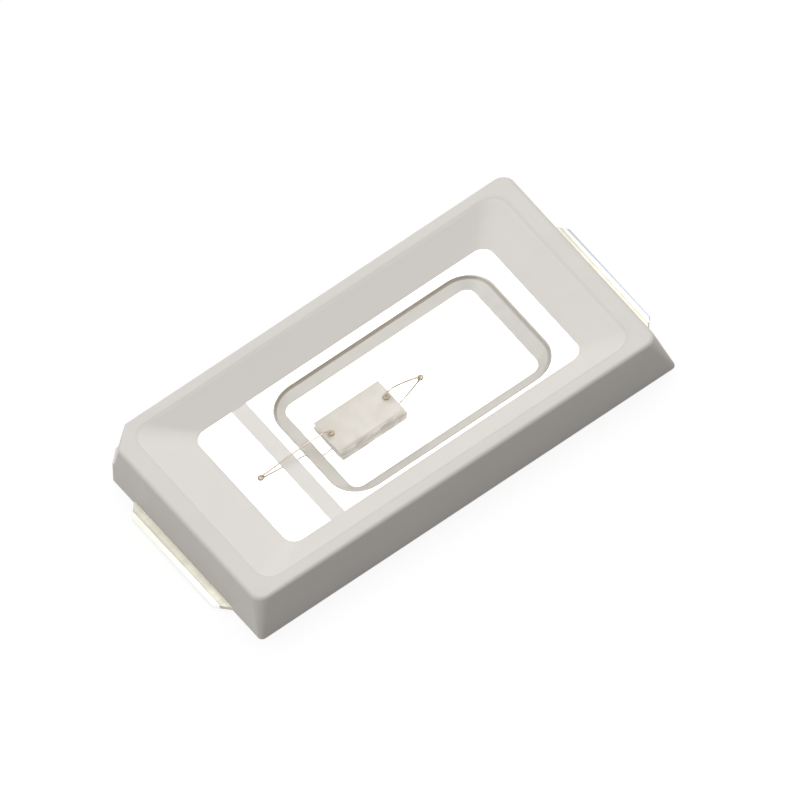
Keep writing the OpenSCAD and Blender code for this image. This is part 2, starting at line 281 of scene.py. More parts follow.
def cut(piece, cutter, operation="DIFFERENCE"):
    """Cuts one solid with another, or joins them into one."""
    apply_modifier(piece, "BOOLEAN", operation=operation, solver="EXACT", object=cutter)
    bpy.data.objects.remove(cutter)


def round_edges(piece, radius):
    """Rounds over a piece's sharp edges."""
    apply_modifier(piece, "BEVEL", width=radius, segments=2, limit_method="ANGLE",
                   angle_limit=math.radians(SHARP_TURN))


def smooth(piece, degrees=SMOOTH_TURN):
    """Shades rounded faces smooth and keeps flat ones flat."""
    make_active(piece)
    bpy.ops.object.shade_smooth_by_angle(angle=math.radians(degrees))
    apply_modifier(piece, "WEIGHTED_NORMAL", keep_sharp=True)


def add_outline(outline, first):
    """Adds a level rounded outline, enlarged. The first is a face, and the others are bare edges."""
    z, length, width, radius, x, y = (value * ENLARGED for value in outline)
    bpy.ops.mesh.primitive_plane_add(size=1, location=(x, y, z))
    if first:
        bpy.ops.object.mode_set(mode="EDIT")
    bpy.ops.transform.resize(value=(length, width, 1), center_override=(x, y, z))
    bpy.ops.mesh.bevel(offset=radius, segments=CORNER_STEPS, affect="VERTICES")
    if not first:
        bpy.ops.mesh.delete(type="ONLY_FACE")


def select_open_edges():
    """In edit mode, selects the edges with one face or none."""
    bpy.ops.mesh.select_all(action="DESELECT")
    bpy.ops.mesh.select_non_manifold(use_wire=True, use_boundary=True, use_multi_face=False,
                                     use_non_contiguous=False, use_verts=False)


def loft(name, outlines):
    """A closed solid through level outlines, each bridged to the next.

    Bridging twists outlines of less than a few square millimetres, so they are made enlarged.
    """
    select_nothing()
    add_outline(outlines[0], True)
    piece = bpy.context.object
    piece.name = name
    bpy.ops.mesh.select_mode(type="EDGE")
    for outline in outlines[1:]:
        bpy.ops.mesh.select_all(action="DESELECT")
        add_outline(outline, False)
        select_open_edges()
        bpy.ops.mesh.bridge_edge_loops()
    select_open_edges()
    bpy.ops.mesh.edge_face_add()
    bpy.ops.mesh.select_all(action="SELECT")
    bpy.ops.mesh.normals_make_consistent(inside=False)
    bpy.ops.object.mode_set(mode="OBJECT")
    make_active(piece)
    bpy.ops.transform.resize(value=(1 / ENLARGED,) * 3, center_override=(0, 0, 0))
    settle(piece)
    return piece


def settle(piece):
    """Puts a piece's place and size in its mesh."""
    make_active(piece)
    bpy.ops.object.transform_apply(location=True, rotation=True, scale=True)


def add_block(name, low, high):
    """A box between two corners."""
    select_nothing()
    low, high = Vector(low), Vector(high)
    bpy.ops.mesh.primitive_cube_add(size=1, location=(low + high) / 2)
    piece = bpy.context.object
    piece.name = name
    piece.scale = high - low
    settle(piece)
    return piece


def add_cylinder(name, radius, depth, middle):
    """An upright cylinder round its middle."""
    select_nothing()
    bpy.ops.mesh.primitive_cylinder_add(vertices=32, radius=radius, depth=depth, location=middle)
    piece = bpy.context.object
    piece.name = name
    settle(piece)
    return piece


def hand_over(piece, material, slot, *nodes):
    """Gives a finished piece its material and its place in the frame."""
    piece.data.name = piece.name
    piece.data.materials.clear()
    piece.data.materials.append(material)
    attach(piece, "root")
    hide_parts(*nodes)


# Outlines

def quarter(radius, steps=ROUND_STEPS):
    """Rise and inset of each step round a quarter turn, from upright to level."""
    turns = [math.pi / 2 * step / steps for step in range(steps + 1)]
    return [(radius * math.sin(turn), radius * (1 - math.cos(turn))) for turn in turns]


def body_outline(body, z, inset=0):
    """The body's outside at height z, pulled in by inset."""
    rise = z / body.height
    return Outline(z,
                   body.length - 2 * body.end_slope * rise - 2 * inset,
                   body.width - 2 * body.side_slope * rise - 2 * inset,
                   body.base_radius + rise * (body.top_radius - body.base_radius) - inset)


def cavity_outline(body, lead, z, flare=0):
    """The cavity's wall at height z, let out by flare."""
    rise = (z - lead.top) / (body.height - lead.top)
    mouth_length = body.length - 2 * body.end_slope - 2 * body.end_rim
    mouth_width = body.width - 2 * body.side_slope - 2 * body.side_rim
    return Outline(z,
                   body.floor_length + rise * (mouth_length - body.floor_length) + 2 * flare,
                   body.floor_width + rise * (mouth_width - body.floor_width) + 2 * flare,
                   body.floor_radius + rise * (body.mouth_radius - body.floor_radius) + flare,
                   (1 - rise) * body.floor_shift)


def cup_outline(lead, z, inset, radius):
    """The cup's wall at height z, pulled in by inset, and by more at the end away from the chip."""
    end_inset = inset * lead.cup_end_slope / lead.cup_slope
    return Outline(z, lead.cup_length - inset - end_inset, lead.cup_width - 2 * inset, radius,
                   lead.cup_x + (inset - end_inset) / 2, lead.cup_y)


# Materials

def new_material(name, **values):
    """A material with one principled shader, whose plain sockets are set here."""
    material = bpy.data.materials.new(name)
    material.use_nodes = True
    tree = material.node_tree
    tree.nodes.clear()
    output = tree.nodes.new("ShaderNodeOutputMaterial")
    shader = tree.nodes.new("ShaderNodeBsdfPrincipled")
    for socket, value in values.items():
        shader.inputs[socket.replace("_", " ")].default_value = value
    tree.links.new(shader.outputs["BSDF"], output.inputs["Surface"])
    return material, tree, shader, output


def wire_up(tree, node, inputs):
    """Sets a node's inputs: an output socket is linked, and a number, vector or colour is written."""
    for key, value in inputs.items():
        if isinstance(value, bpy.types.NodeSocket):
            tree.links.new(value, node.inputs[key])
        else:
            node.inputs[key].default_value = value


def maths(tree, operation, first, second=0.0, clamp=False):
    """Works out one sum on two values."""
    node = tree.nodes.new("ShaderNodeMath")
    node.operation = operation
    node.use_clamp = clamp
    wire_up(tree, node, {0: first, 1: second})
    return node.outputs[0]


def ramp(tree, value, start, end):
    """0 below start and 1 past end, with a smooth step between. The start may lie above the end."""
    node = tree.nodes.new("ShaderNodeMapRange")
    node.interpolation_type = "SMOOTHSTEP"
    low, high = sorted((start, end))
    wire_up(tree, node, {"Value": value, "From Min": low, "From Max": high})
    result = node.outputs["Result"]
    return result if start < end else maths(tree, "SUBTRACT", 1.0, result)


def band(tree, value, low, high, soft):
    """1 between two limits, fading to 0 over the soft width past each."""
    past_low = ramp(tree, value, low - soft, low)
    short_of_high = ramp(tree, value, high + soft, high)
    return maths(tree, "MULTIPLY", past_low, short_of_high)


def opaque(tint):
    """A colour with its alpha, or the output socket that a colour comes from."""
    return tint if isinstance(tint, bpy.types.NodeSocket) else (*tint, 1)


def blend(tree, mask, first, second):
    """The first colour, and the second where the mask is 1."""
    node = tree.nodes.new("ShaderNodeMix")
    node.data_type = "RGBA"
    # Sockets 6 and 7 are the two colours, and output 2 is the blended one.
    wire_up(tree, node, {0: mask, 6: opaque(first), 7: opaque(second)})
    return node.outputs[2]


def places(tree):
    """The x, y and z of a point on the object, and of its normal."""
    source = tree.nodes.new("ShaderNodeTexCoord")
    found = []
    for output in ("Object", "Normal"):
        split = tree.nodes.new("ShaderNodeSeparateXYZ")
        tree.links.new(source.outputs[output], split.inputs[0])
        found += split.outputs
    return found


def distance_to(tree, point):
    """How far each point of the surface lies from a fixed point."""
    source = tree.nodes.new("ShaderNodeTexCoord")
    node = tree.nodes.new("ShaderNodeVectorMath")
    node.operation = "DISTANCE"
    tree.links.new(source.outputs["Object"], node.inputs[0])
    node.inputs[1].default_value = point
    return node.outputs["Value"]


def spot(tree, point, core, edge):
    """1 near a point, out to the core distance, and fading to 0 at the edge distance."""
    return ramp(tree, distance_to(tree, point), edge, core)


def finish_group():
    """The group that gives each finish its uneven colour, gloss and fine relief."""
    name = "Uneven finish"
    if name in bpy.data.node_groups:
        return bpy.data.node_groups[name]
    tree = bpy.data.node_groups.new(name, "ShaderNodeTree")
    for socket, kind in (("Colour", "Color"), ("Shade", "Color"), ("Spots per metre", "Vector"),
                         ("Gloss", "Float"), ("Gloss spread", "Float"), ("Relief", "Float")):
        tree.interface.new_socket(socket, in_out="INPUT", socket_type="NodeSocket" + kind)
    for socket, kind in (("Colour", "Color"), ("Roughness", "Float"), ("Normal", "Vector")):
        tree.interface.new_socket(socket, in_out="OUTPUT", socket_type="NodeSocket" + kind)
    given = tree.nodes.new("NodeGroupInput").outputs
    result = tree.nodes.new("NodeGroupOutput")
    source = tree.nodes.new("ShaderNodeTexCoord")
    scaled = tree.nodes.new("ShaderNodeVectorMath")
    scaled.operation = "MULTIPLY"
    wire_up(tree, scaled, {0: source.outputs["Object"], 1: given["Spots per metre"]})
    noise = tree.nodes.new("ShaderNodeTexNoise")
    wire_up(tree, noise, {"Vector": scaled.outputs[0], "Scale": 1, "Detail": 3, "Roughness": 0.55})
    mask = ramp(tree, noise.outputs["Fac"], 0.32, 0.68)
    mixed = blend(tree, mask, given["Colour"], given["Shade"])
    off_middle = maths(tree, "SUBTRACT", mask, 0.5)
    change = maths(tree, "MULTIPLY", off_middle, given["Gloss spread"])
    rough = maths(tree, "ADD", given["Gloss"], change, clamp=True)
    bump = tree.nodes.new("ShaderNodeBump")
    wire_up(tree, bump, {"Strength": 1, "Distance": given["Relief"], "Height": noise.outputs["Fac"]})
    wire_up(tree, result, {"Colour": mixed, "Roughness": rough, "Normal": bump.outputs[0]})
    return tree


def finish(tree, tint, shade, spots, gloss, spread, relief=0):
    """Places the shared finish in a material and returns its colour, roughness and normal."""
    node = tree.nodes.new("ShaderNodeGroup")
    node.node_tree = finish_group()
    wire_up(tree, node, {"Colour": opaque(tint), "Shade": opaque(shade), "Spots per metre": spots,
                         "Gloss": gloss, "Gloss spread": spread, "Relief": relief})
    return node.outputs


def dress(tree, shader, surface, changes=()):
    """Gives a shader a finish's colour, roughness and normal, apart from what the changes name."""
    plain = {"Base Color": surface["Colour"], "Roughness": surface["Roughness"],
             "Normal": surface["Normal"]}
    wire_up(tree, shader, {**plain, **dict(changes)})


def darker(tint, part):
    """A colour brought down to a part of its brightness."""
    return tuple(value * part for value in tint)


def plastic_material(body):
    """White moulding compound: faint flow clouds under a fine matt grain."""
    material, tree, shader, _ = new_material("White plastic", IOR=1.5)
    clouds = finish(tree, body.tint, darker(body.tint, 0.975), spots=(900, 1600, 1600),
                    gloss=0.5, spread=0.08)
    grain = finish(tree, clouds["Colour"], darker(body.tint, 0.985), spots=(42000,) * 3,
                   gloss=clouds["Roughness"], spread=0.12, relief=0.05 * UM)
    dress(tree, shader, grain)
    return material


# How upright a normal is where a finish or painted light on a tilted face starts and where it is full, 1
# on a level face
LIP_TILT = (0.985, 0.93)
WALL_TILT = (0.97, 0.85)
SIDE_TILT = (0.95, 0.7)


def paint_lip_reflection(tree, lead, z, normal_x, normal_y, normal_z):
    """Painted dark reflection: 1 on the cup's rounded lip along its back, and less round its right end.
    """
    bottom, top, soft = lead.top - 1.2 * lead.cup_lip, lead.top - 0.1 * lead.cup_lip, 0.2 * lead.cup_lip
    lip = band(tree, z, bottom, top, soft)
    # The right end's wall faces -X and the back's faces -Y, and the back gets more of the painted
    # reflection.
    end_strength, back_strength = -0.9, -1.6
    at_end = maths(tree, "MULTIPLY", normal_x, end_strength)
    at_back = maths(tree, "MULTIPLY", normal_y, back_strength)
    side = maths(tree, "MAXIMUM", at_back, at_end, clamp=True)
    tilted = ramp(tree, normal_z, *LIP_TILT)
    return maths(tree, "MULTIPLY", maths(tree, "MULTIPLY", lip, tilted), side, clamp=True)


def silver_material(lead, body):
    """Bright plating on rolled sheet: rolling lines and rougher walls from coining, with painted
    reflection on the cup's walls and lip, and painted shade on the terminals and along the large lead's
    tip.
    """
    material, tree, shader, _ = new_material("Silver plating", Metallic=1)
    x, _, z, normal_x, normal_y, normal_z = places(tree)
    from_middle = maths(tree, "ABSOLUTE", x)
    base = body.length / 2
    shade_band_end = base + lead.shade_band_reach
    under_body, line_width, line_soft, tip_soft = 0.1 * MM, 0.012 * MM, 0.01 * MM, 0.03 * MM
    # Painted shade: the terminals are darker, and rougher, next to the body, and a darker painted line
    # ends the band
    dulled_and_painted_shade = band(tree, from_middle, base - under_body, shade_band_end, line_width)
    line = band(tree, from_middle, shade_band_end - line_width, shade_band_end, line_soft)
    tip = ramp(tree, from_middle, shade_band_end, shade_band_end + tip_soft)
    # Painted shade: a dark line along the large lead's tip, which is also rougher there
    darkened, inner_soft = 0.024 * MM, 0.3 * MM
    dulled_and_painted_shade_tip = band(tree, x, LARGE_HIGH.x - darkened, LARGE_HIGH.x, darkened / 3)
    # The cup's walls are rougher from coining, and greyer as a painted reflection
    inside = ramp(tree, from_middle, base, base - inner_soft)
    coined_and_painted_reflection = maths(tree, "MULTIPLY", ramp(tree, normal_z, *WALL_TILT), inside)
    # Painted dark reflection along the cup's lip
    painted_lip_reflection = paint_lip_reflection(tree, lead, z, normal_x, normal_y, normal_z)

    rolled = finish(tree, lead.tint, darker(lead.tint, 0.96), spots=(500, 16000, 16000),
                    gloss=0.12, spread=0.08, relief=0.06 * UM)
    tint = rolled["Colour"]
    # Painted shade on the terminals and along the tip, and painted reflection on the cup's walls and
    # lip, go over the rolled colour
    for mask, over in ((dulled_and_painted_shade, lead.painted_shade_tint), (line, darker(lead.painted_shade_tint, 0.88)),
                       (tip, lead.edge_tint), (dulled_and_painted_shade_tip, lead.painted_tip_shade_tint),
                       (coined_and_painted_reflection, lead.painted_wall_reflection_tint), (painted_lip_reflection, lead.painted_lip_reflection_tint)):
        tint = blend(tree, mask, tint, over)
    rough = rolled["Roughness"]
    for mask, more in ((coined_and_painted_reflection, 0.4), (maths(tree, "MAXIMUM", dulled_and_painted_shade, dulled_and_painted_shade_tip), 0.3)):
        rough = maths(tree, "ADD", rough, maths(tree, "MULTIPLY", mask, more))
    dress(tree, shader, rolled, {"Base Color": tint, "Roughness": rough})
    return material


def crystal_material(chip):
    """Pale clear crystal on bright metal: cloudy top, a warm bloom by one contact, and rougher sides
    painted lighter and part metal, as painted light and reflection.
    """
    material, tree, shader, _ = new_material("Crystal", IOR=1.7)
    normal_z = places(tree)[-1]
    low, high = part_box("contact_left")
    bloom = spot(tree, (low + high) / 2 + Vector((0.03, 0.05, 0)) * MM, 0.02 * MM, 0.13 * MM)
    low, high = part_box("contact_right")
    scorch = spot(tree, (low + high) / 2 + Vector((0.02, -0.04, 0)) * MM, 0.03 * MM, 0.1 * MM)
    # The sides are rougher, and painted lighter and part metal as painted light and reflection
    rough_and_painted_light_sides = ramp(tree, normal_z, *SIDE_TILT)
    tint = blend(tree, rough_and_painted_light_sides, chip.tint, chip.painted_light_side_tint)
    tint = blend(tree, maths(tree, "MULTIPLY", bloom, 0.8), tint, chip.bloom_tint)
    tint = blend(tree, maths(tree, "MULTIPLY", scorch, 0.5), tint, darker(chip.bloom_tint, 0.9))
    clouds = finish(tree, tint, darker(chip.tint, 0.93), spots=(9000, 6000, 9000),
                    gloss=0.35, spread=0.1, relief=0.05 * UM)
    rough = maths(tree, "ADD", clouds["Roughness"], maths(tree, "MULTIPLY", rough_and_painted_light_sides, 0.4))
    painted_side_reflection = maths(tree, "MULTIPLY", rough_and_painted_light_sides, 0.8)
    dress(tree, shader, clouds, {"Roughness": rough, "Metallic": painted_side_reflection})
    return material


def contact_material(chip):
    """Evaporated metal with faint streaks."""
    material, tree, shader, _ = new_material("Contact metal", Metallic=1)
    streaks = finish(tree, chip.contact_tint, darker(chip.contact_tint, 0.8), spots=(60000,) * 3,
                     gloss=0.4, spread=0.15, relief=0.1 * UM)
    dress(tree, shader, streaks)
    return material


def wire_material(wire):
    """Drawn wire, browner and duller at its balls."""
    material, tree, shader, _ = new_material("Bond wire", Metallic=1)
    nearest = 1.0
    for node in ("contact_left", "contact_right", "bond_ball_small_lead", "bond_ball_cup"):
        low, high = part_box(node)
        nearest = maths(tree, "MINIMUM", distance_to(tree, (low + high) / 2), nearest)
    ball_reach, browned_reach = 0.04 * MM, 0.065 * MM
    melted = ramp(tree, nearest, browned_reach, ball_reach)
    tint = blend(tree, melted, wire.tint, wire.ball_tint)
    gloss = maths(tree, "ADD", maths(tree, "MULTIPLY", melted, 0.2), 0.25)
    streaks = finish(tree, tint, darker(wire.tint, 0.8), spots=(8000, 90000, 90000),
                     gloss=gloss, spread=0.15, relief=0.1 * UM)
    tint = blend(tree, maths(tree, "MULTIPLY", melted, 0.7), streaks["Colour"], wire.ball_tint)
    dress(tree, shader, streaks, {"Base Color": tint})
    return material


def adhesive_material(chip):
    """Cured milky adhesive with faint clouds."""
    material, tree, shader, _ = new_material("Clear adhesive", IOR=1.5)
    milky = finish(tree, chip.glue_tint, darker(chip.glue_tint, 0.9), spots=(14000,) * 3,
                   gloss=0.22, spread=0.1, relief=0.4 * UM)
    dress(tree, shader, milky)
    return material


def resin_material(resin):
    """Clear resin that bends what is seen through it, and lets the lamps' light straight through."""
    material, tree, shader, output = new_material(
        "Clear resin", Base_Color=(*resin.tint, 1), Roughness=0, IOR=resin.ior, Transmission_Weight=1)
    path = tree.nodes.new("ShaderNodeLightPath")
    lighting = maths(tree, "MAXIMUM", path.outputs["Is Shadow Ray"], path.outputs["Is Diffuse Ray"])
    clear = tree.nodes.new("ShaderNodeBsdfTransparent")
    mix = tree.nodes.new("ShaderNodeMixShader")
    wire_up(tree, mix, {0: lighting, 1: shader.outputs[0], 2: clear.outputs[0]})
    tree.links.new(mix.outputs[0], output.inputs["Surface"])
    return material


# Leads

def bend_stations(lead):
    """Places along a lead, from its bend to its tip, each with the share of the drop reached there."""
    bend = [(lead.bend_start + lead.bend_length * step / BEND_STEPS,
             (1 - math.cos(math.pi * step / BEND_STEPS)) / 2) for step in range(1, BEND_STEPS + 1)]
    return [*bend, (LARGE_HIGH.x - lead.cut_length, 1), (LARGE_HIGH.x, 1)]


def lead_sheet(name, lead, inner_x, side):
    """A lead from its inner edge to its terminal, towards +X or -X, drawn out along its bend."""
    half = lead.pad_width / 2
    drop = lead.top - lead.thickness
    ends = sorted((inner_x, side * lead.bend_start))
    piece = add_block(name, (ends[0], -half, drop), (ends[1], half, lead.top))
    bpy.ops.object.mode_set(mode="EDIT")
    select_parts(piece, "faces", lambda face: face.normal.x * side > FACING)
    neck = (lead.pad_width - lead.terminal_width) / 2
    x, z, width, height = lead.bend_start, drop + lead.thickness / 2, lead.pad_width, lead.thickness
    for new_x, fallen in bend_stations(lead):
        new_width = lead.pad_width - 2 * min(neck, new_x - lead.bend_start)
        if new_x == LARGE_HIGH.x:
            new_width -= 2 * lead.cut_width
        new_height = lead.thickness + fallen * (lead.terminal_thickness - lead.thickness)
        new_z = drop * (1 - fallen) + new_height / 2
        bpy.ops.mesh.extrude_region_move(
            TRANSFORM_OT_translate={"value": (side * (new_x - x), 0, new_z - z)})
        bpy.ops.transform.resize(value=(1, new_width / width, new_height / height),
                                 center_override=(0, 0, new_z))
        x, z, width, height = new_x, new_z, new_width, new_height
    bpy.ops.object.mode_set(mode="OBJECT")
    round_edges(piece, lead.edge_radius)
    return piece


def cup_boss(lead):
    """The outside of the cup, pressed down to the solder level."""
    drop = lead.top - lead.thickness
    foot = lead.edge_radius
    return loft("cup_boss", [
        cup_outline(lead, 0, lead.cup_slope + foot, lead.cup_floor_radius),
        cup_outline(lead, foot, lead.cup_slope - foot, lead.cup_floor_radius),
        cup_outline(lead, drop, 0, lead.cup_radius),
        cup_outline(lead, drop + lead.thickness / 2, 0, lead.cup_radius)])


def cup_lead_blank(lead):
    """The large lead before its cup is hollowed out."""
    piece = lead_sheet("cup_lead", lead, LARGE_LOW.x, 1)
    cut(piece, cup_boss(lead), "UNION")
    return piece


def cup_hollow(lead):
    """The inside of the cup, with its rim rounded over."""
    lip = lead.cup_lip
    rounded = [cup_outline(lead, lead.top - lip + rise, lip - inset, lead.cup_radius - lip + inset)
               for rise, inset in quarter(lip)]
    return loft("cup_hollow", [
        cup_outline(lead, lead.thickness, lead.cup_slope, lead.cup_floor_radius),
        *rounded,
        cup_outline(lead, lead.top + CLEAR / 2, 0, lead.cup_radius)])


class LED_OT_leads(bpy.types.Operator):
    """Models the large lead with its cup, and the small lead"""

    bl_idname = "led.leads"
    bl_label = "Leads"

    def execute(self, context):
        lead = context.scene.led_lead
        silver = silver_material(lead, context.scene.led_body)
        large = cup_lead_blank(lead)
        cut(large, cup_hollow(lead))
        # The gentlest wall of the cup meets its floor at 31 degrees, and that edge stays sharp.
        smooth(large, degrees=25)
        hand_over(large, silver, "silver_plate", "large_lead")
        small = lead_sheet("wire_lead", lead, SMALL_HIGH.x, -1)
        smooth(small)
        hand_over(small, silver, "silver_plate", "small_lead")
        return {"FINISHED"}


# Housing

def edge_middle(edge):
    return (edge.verts[0].co + edge.verts[1].co) / 2


def corner_cutter(name, body, low, high, low_reach, high_reach):
    """A block across the corner at -X and +Y, whose wall stands as far out as each reach says."""
    out = Vector((-1, 1, 0)).normalized()
    corner = Vector((body.end_slope - body.length / 2, body.width / 2 - body.side_slope, 0))
    past = 5 * CLEAR
    select_nothing()
    middle = corner + out * (past + high_reach) / 2 + Vector((0, 0, (low + high) / 2))
    bpy.ops.mesh.primitive_cube_add(size=1, location=middle, rotation=(0, 0, math.radians(135)))
    piece = bpy.context.object
    piece.name = name
    piece.scale = (past - high_reach, 2 * past, high - low)
    settle(piece)
    foot = corner + out * high_reach + Vector((0, 0, low))
    bpy.ops.object.mode_set(mode="EDIT")
    select_parts(piece, "edges", lambda edge: (edge_middle(edge) - foot).length < UM)
    bpy.ops.transform.translate(value=out * (low_reach - high_reach))
    bpy.ops.object.mode_set(mode="OBJECT")
    return piece


def cut_mark(housing, body):
    """Cuts the polarity mark: one corner down to a small ledge, and less of it below the ledge."""
    diagonal = math.sqrt(2)
    # How far in from the body's corner the mark stands at the top
    mark = ((body.end_rim + body.side_rim) / diagonal + body.mouth_radius * (diagonal - 1)
            - body.lip_radius - body.mark_wall)
    ledge, top = body.height - body.mark_depth, body.height + CLEAR
    lean = body.mark_slope / body.mark_depth
    cut(housing, corner_cutter("mark", body, ledge, top, body.mark_slope - mark,
                               -mark - lean * (top - body.height)))
    foot, over = -CLEAR, ledge + CLEAR / 2
    lean = (body.end_slope + body.side_slope) / diagonal / body.height
    reaches = [lean * (body.height - z) - body.ledge_cut for z in (foot, over)]
    cut(housing, corner_cutter("under_mark", body, foot, over, *reaches))


class LED_OT_housing(bpy.types.Operator):
    """Models the moulded body round the leads"""

    bl_idname = "led.housing"
    bl_label = "Housing"

    def execute(self, context):
        body, lead = context.scene.led_body, context.scene.led_lead
        foot = [body_outline(body, body.relief + body.foot_radius - rise, inset)
                for rise, inset in reversed(quarter(body.foot_radius, 2))]
        shoulder = [body_outline(body, body.height - body.edge_radius + rise, inset)
                    for rise, inset in quarter(body.edge_radius)]
        # Level outlines can be bridged the wrong way round, so the lip starts a hair below the rim.
        lip = [cavity_outline(body, lead, body.height - body.relief - body.lip_radius + rise, inset)
               for rise, inset in reversed(quarter(body.lip_radius))]
        floor = cavity_outline(body, lead, lead.top - body.relief)
        housing = loft("moulded_body", [*foot, *shoulder, *lip, floor])
        cut_mark(housing, body)
        cut(housing, cup_lead_blank(lead))
        cut(housing, lead_sheet("seat", lead, SMALL_HIGH.x, -1))
        smooth(housing)
        hand_over(housing, plastic_material(body), "white_plastic", "housing")
        return {"FINISHED"}


# Chip, adhesive and contacts

def chip_crystal(chip):
    """The crystal, with its etched top layer and the recess round its right contact."""
    ledge = CHIP_HIGH.z - chip.mesa_height
    crystal = add_block("crystal", CHIP_LOW, (CHIP_HIGH.x, CHIP_HIGH.y, ledge))
    bpy.ops.object.mode_set(mode="EDIT")
    select_parts(crystal, "faces", lambda face: face.normal.z > FACING)
    bpy.ops.mesh.inset(thickness=chip.mesa_inset)
    bpy.ops.mesh.extrude_region_move(TRANSFORM_OT_translate={"value": (0, 0, chip.mesa_height)})
    bpy.ops.object.mode_set(mode="OBJECT")
    low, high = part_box("contact_right")
    middle = (low + high) / 2
    middle.z = ledge + chip.mesa_height
    cut(crystal, add_cylinder("recess", chip.recess / 2, 2 * chip.mesa_height, middle))
    round_edges(crystal, chip.edge_radius)
    smooth(crystal)
    return crystal


def die_adhesive():
    """The adhesive under the chip, which spreads out most at its foot."""
    middle = (GLUE_LOW + GLUE_HIGH) / 2
    length, width, _ = GLUE_HIGH - GLUE_LOW
    spread = (length - (CHIP_HIGH.x - CHIP_LOW.x)) / 2
    knee = GLUE_LOW.z + 0.3 * (GLUE_HIGH.z - GLUE_LOW.z)
    glue = loft("die_adhesive", [
        Outline(GLUE_LOW.z, length, width, 2 * spread, middle.x, middle.y),
        Outline(knee, length - spread, width - spread, 1.5 * spread, middle.x, middle.y),
        Outline(GLUE_HIGH.z, length - 2 * spread, width - 2 * spread, spread / 2, middle.x, middle.y)])
    smooth(glue, degrees=60)
    return glue


def contact_pad(node, low, high):
    """A round contact that fills its box."""
    pad = add_cylinder(node + "_pad", (high.x - low.x) / 2, high.z - low.z, (low + high) / 2)
    round_edges(pad, UM)
    smooth(pad)
    return pad


class LED_OT_chip(bpy.types.Operator):
    """Models the chip, its adhesive and its two contacts"""

    bl_idname = "led.chip"
    bl_label = "Chip"

    def execute(self, context):
        chip = context.scene.led_chip
        hand_over(chip_crystal(chip), crystal_material(chip), "chip_crystal", "chip")
        hand_over(die_adhesive(), adhesive_material(chip), "clear_adhesive", "die_attach")
        metal = contact_material(chip)
        for node in ("contact_left", "contact_right"):
            low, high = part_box(node)
            hand_over(contact_pad(node, low, high), metal, "contact_metal", node)
        return {"FINISHED"}


# Wires

def middle_at(low, high, z):
    """The middle of a box, seen from above, at height z."""
    return Vector(((low.x + high.x) / 2, (low.y + high.y) / 2, z))


def ball(name, wire, x, y, z):
    """A squashed ball that stands flat at height z."""
    select_nothing()
    belly = 0.4 * wire.ball_height
    bpy.ops.mesh.primitive_uv_sphere_add(segments=24, ring_count=16, radius=wire.ball_diameter / 2,
                                         location=(x, y, z + belly))
    piece = bpy.context.object
    piece.name = name
    piece.scale.z = (wire.ball_height - belly) / (wire.ball_diameter / 2)
    settle(piece)
    bpy.ops.object.mode_set(mode="EDIT")
    bpy.ops.mesh.select_all(action="SELECT")
    bpy.ops.mesh.bisect(plane_co=(x, y, z), plane_no=(0, 0, 1), use_fill=True, clear_inner=True,
                        threshold=0.1 * UM)
    bpy.ops.object.mode_set(mode="OBJECT")
    return piece


def bond_wire(name, wire, start, end):
    """A wire that leaves its ball upright, loops over and comes down to its lead."""
    select_nothing()
    bpy.ops.curve.primitive_bezier_curve_add(location=(0, 0, 0))
    piece = bpy.context.object
    piece.name = name
    curve = piece.data
    curve.bevel_depth = wire.diameter / 2
    curve.bevel_resolution = 2
    curve.resolution_u = 28
    curve.use_fill_caps = True
    first, last = curve.splines[0].bezier_points
    for point in (first, last):
        point.handle_left_type = point.handle_right_type = "FREE"
    # The handle that the wire comes down from: shares of its way along and of the loop
    reach, shoulder = 0.45, 0.4
    over = Vector((start.x + reach * (end.x - start.x), (start.y + end.y) / 2,
                   start.z + shoulder * wire.loop))
    up = start + Vector((0, 0, wire.loop))
    first.co, first.handle_left, first.handle_right = start, start, up
    last.co, last.handle_left, last.handle_right = end, over, end
    make_active(piece)
    bpy.ops.object.convert(target="MESH")
    return bpy.context.object


class LED_OT_wires(bpy.types.Operator):
    """Models the two bond wires and their balls"""

    bl_idname = "led.wires"
    bl_label = "Wires"

    def execute(self, context):
        wire = context.scene.led_wire
        gold = wire_material(wire)
        runs = (("wire_to_small_lead", "contact_left", "wire_small_lead", "bond_ball_small_lead"),
                ("wire_to_cup", "contact_right", "wire_cup", "bond_ball_cup"))
        for name, contact, node, bond in runs:
            low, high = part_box(contact)
            pad = middle_at(low, high, high.z)
            low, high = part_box(bond)
            landing = middle_at(low, high, low.z)
            piece = bond_wire(name, wire, pad + Vector((0, 0, wire.ball_height / 2)),
                              landing + Vector((0, 0, wire.ball_height)))
            cut(piece, ball("chip_ball", wire, *pad), "UNION")
            smooth(piece, degrees=50)
            hand_over(piece, gold, "bond_wire", node)
            foot = ball(bond + "_gold", wire, *landing)
            smooth(foot, degrees=50)
            hand_over(foot, gold, "bond_wire", bond)
        return {"FINISHED"}


# Resin

# How far in from its edge the resin's surface sinks, and the share of its dip that is reached there
DIP_STEPS = ((0.02 * MM, 0.4), (0.06 * MM, 0.75), (0.14 * MM, 1))


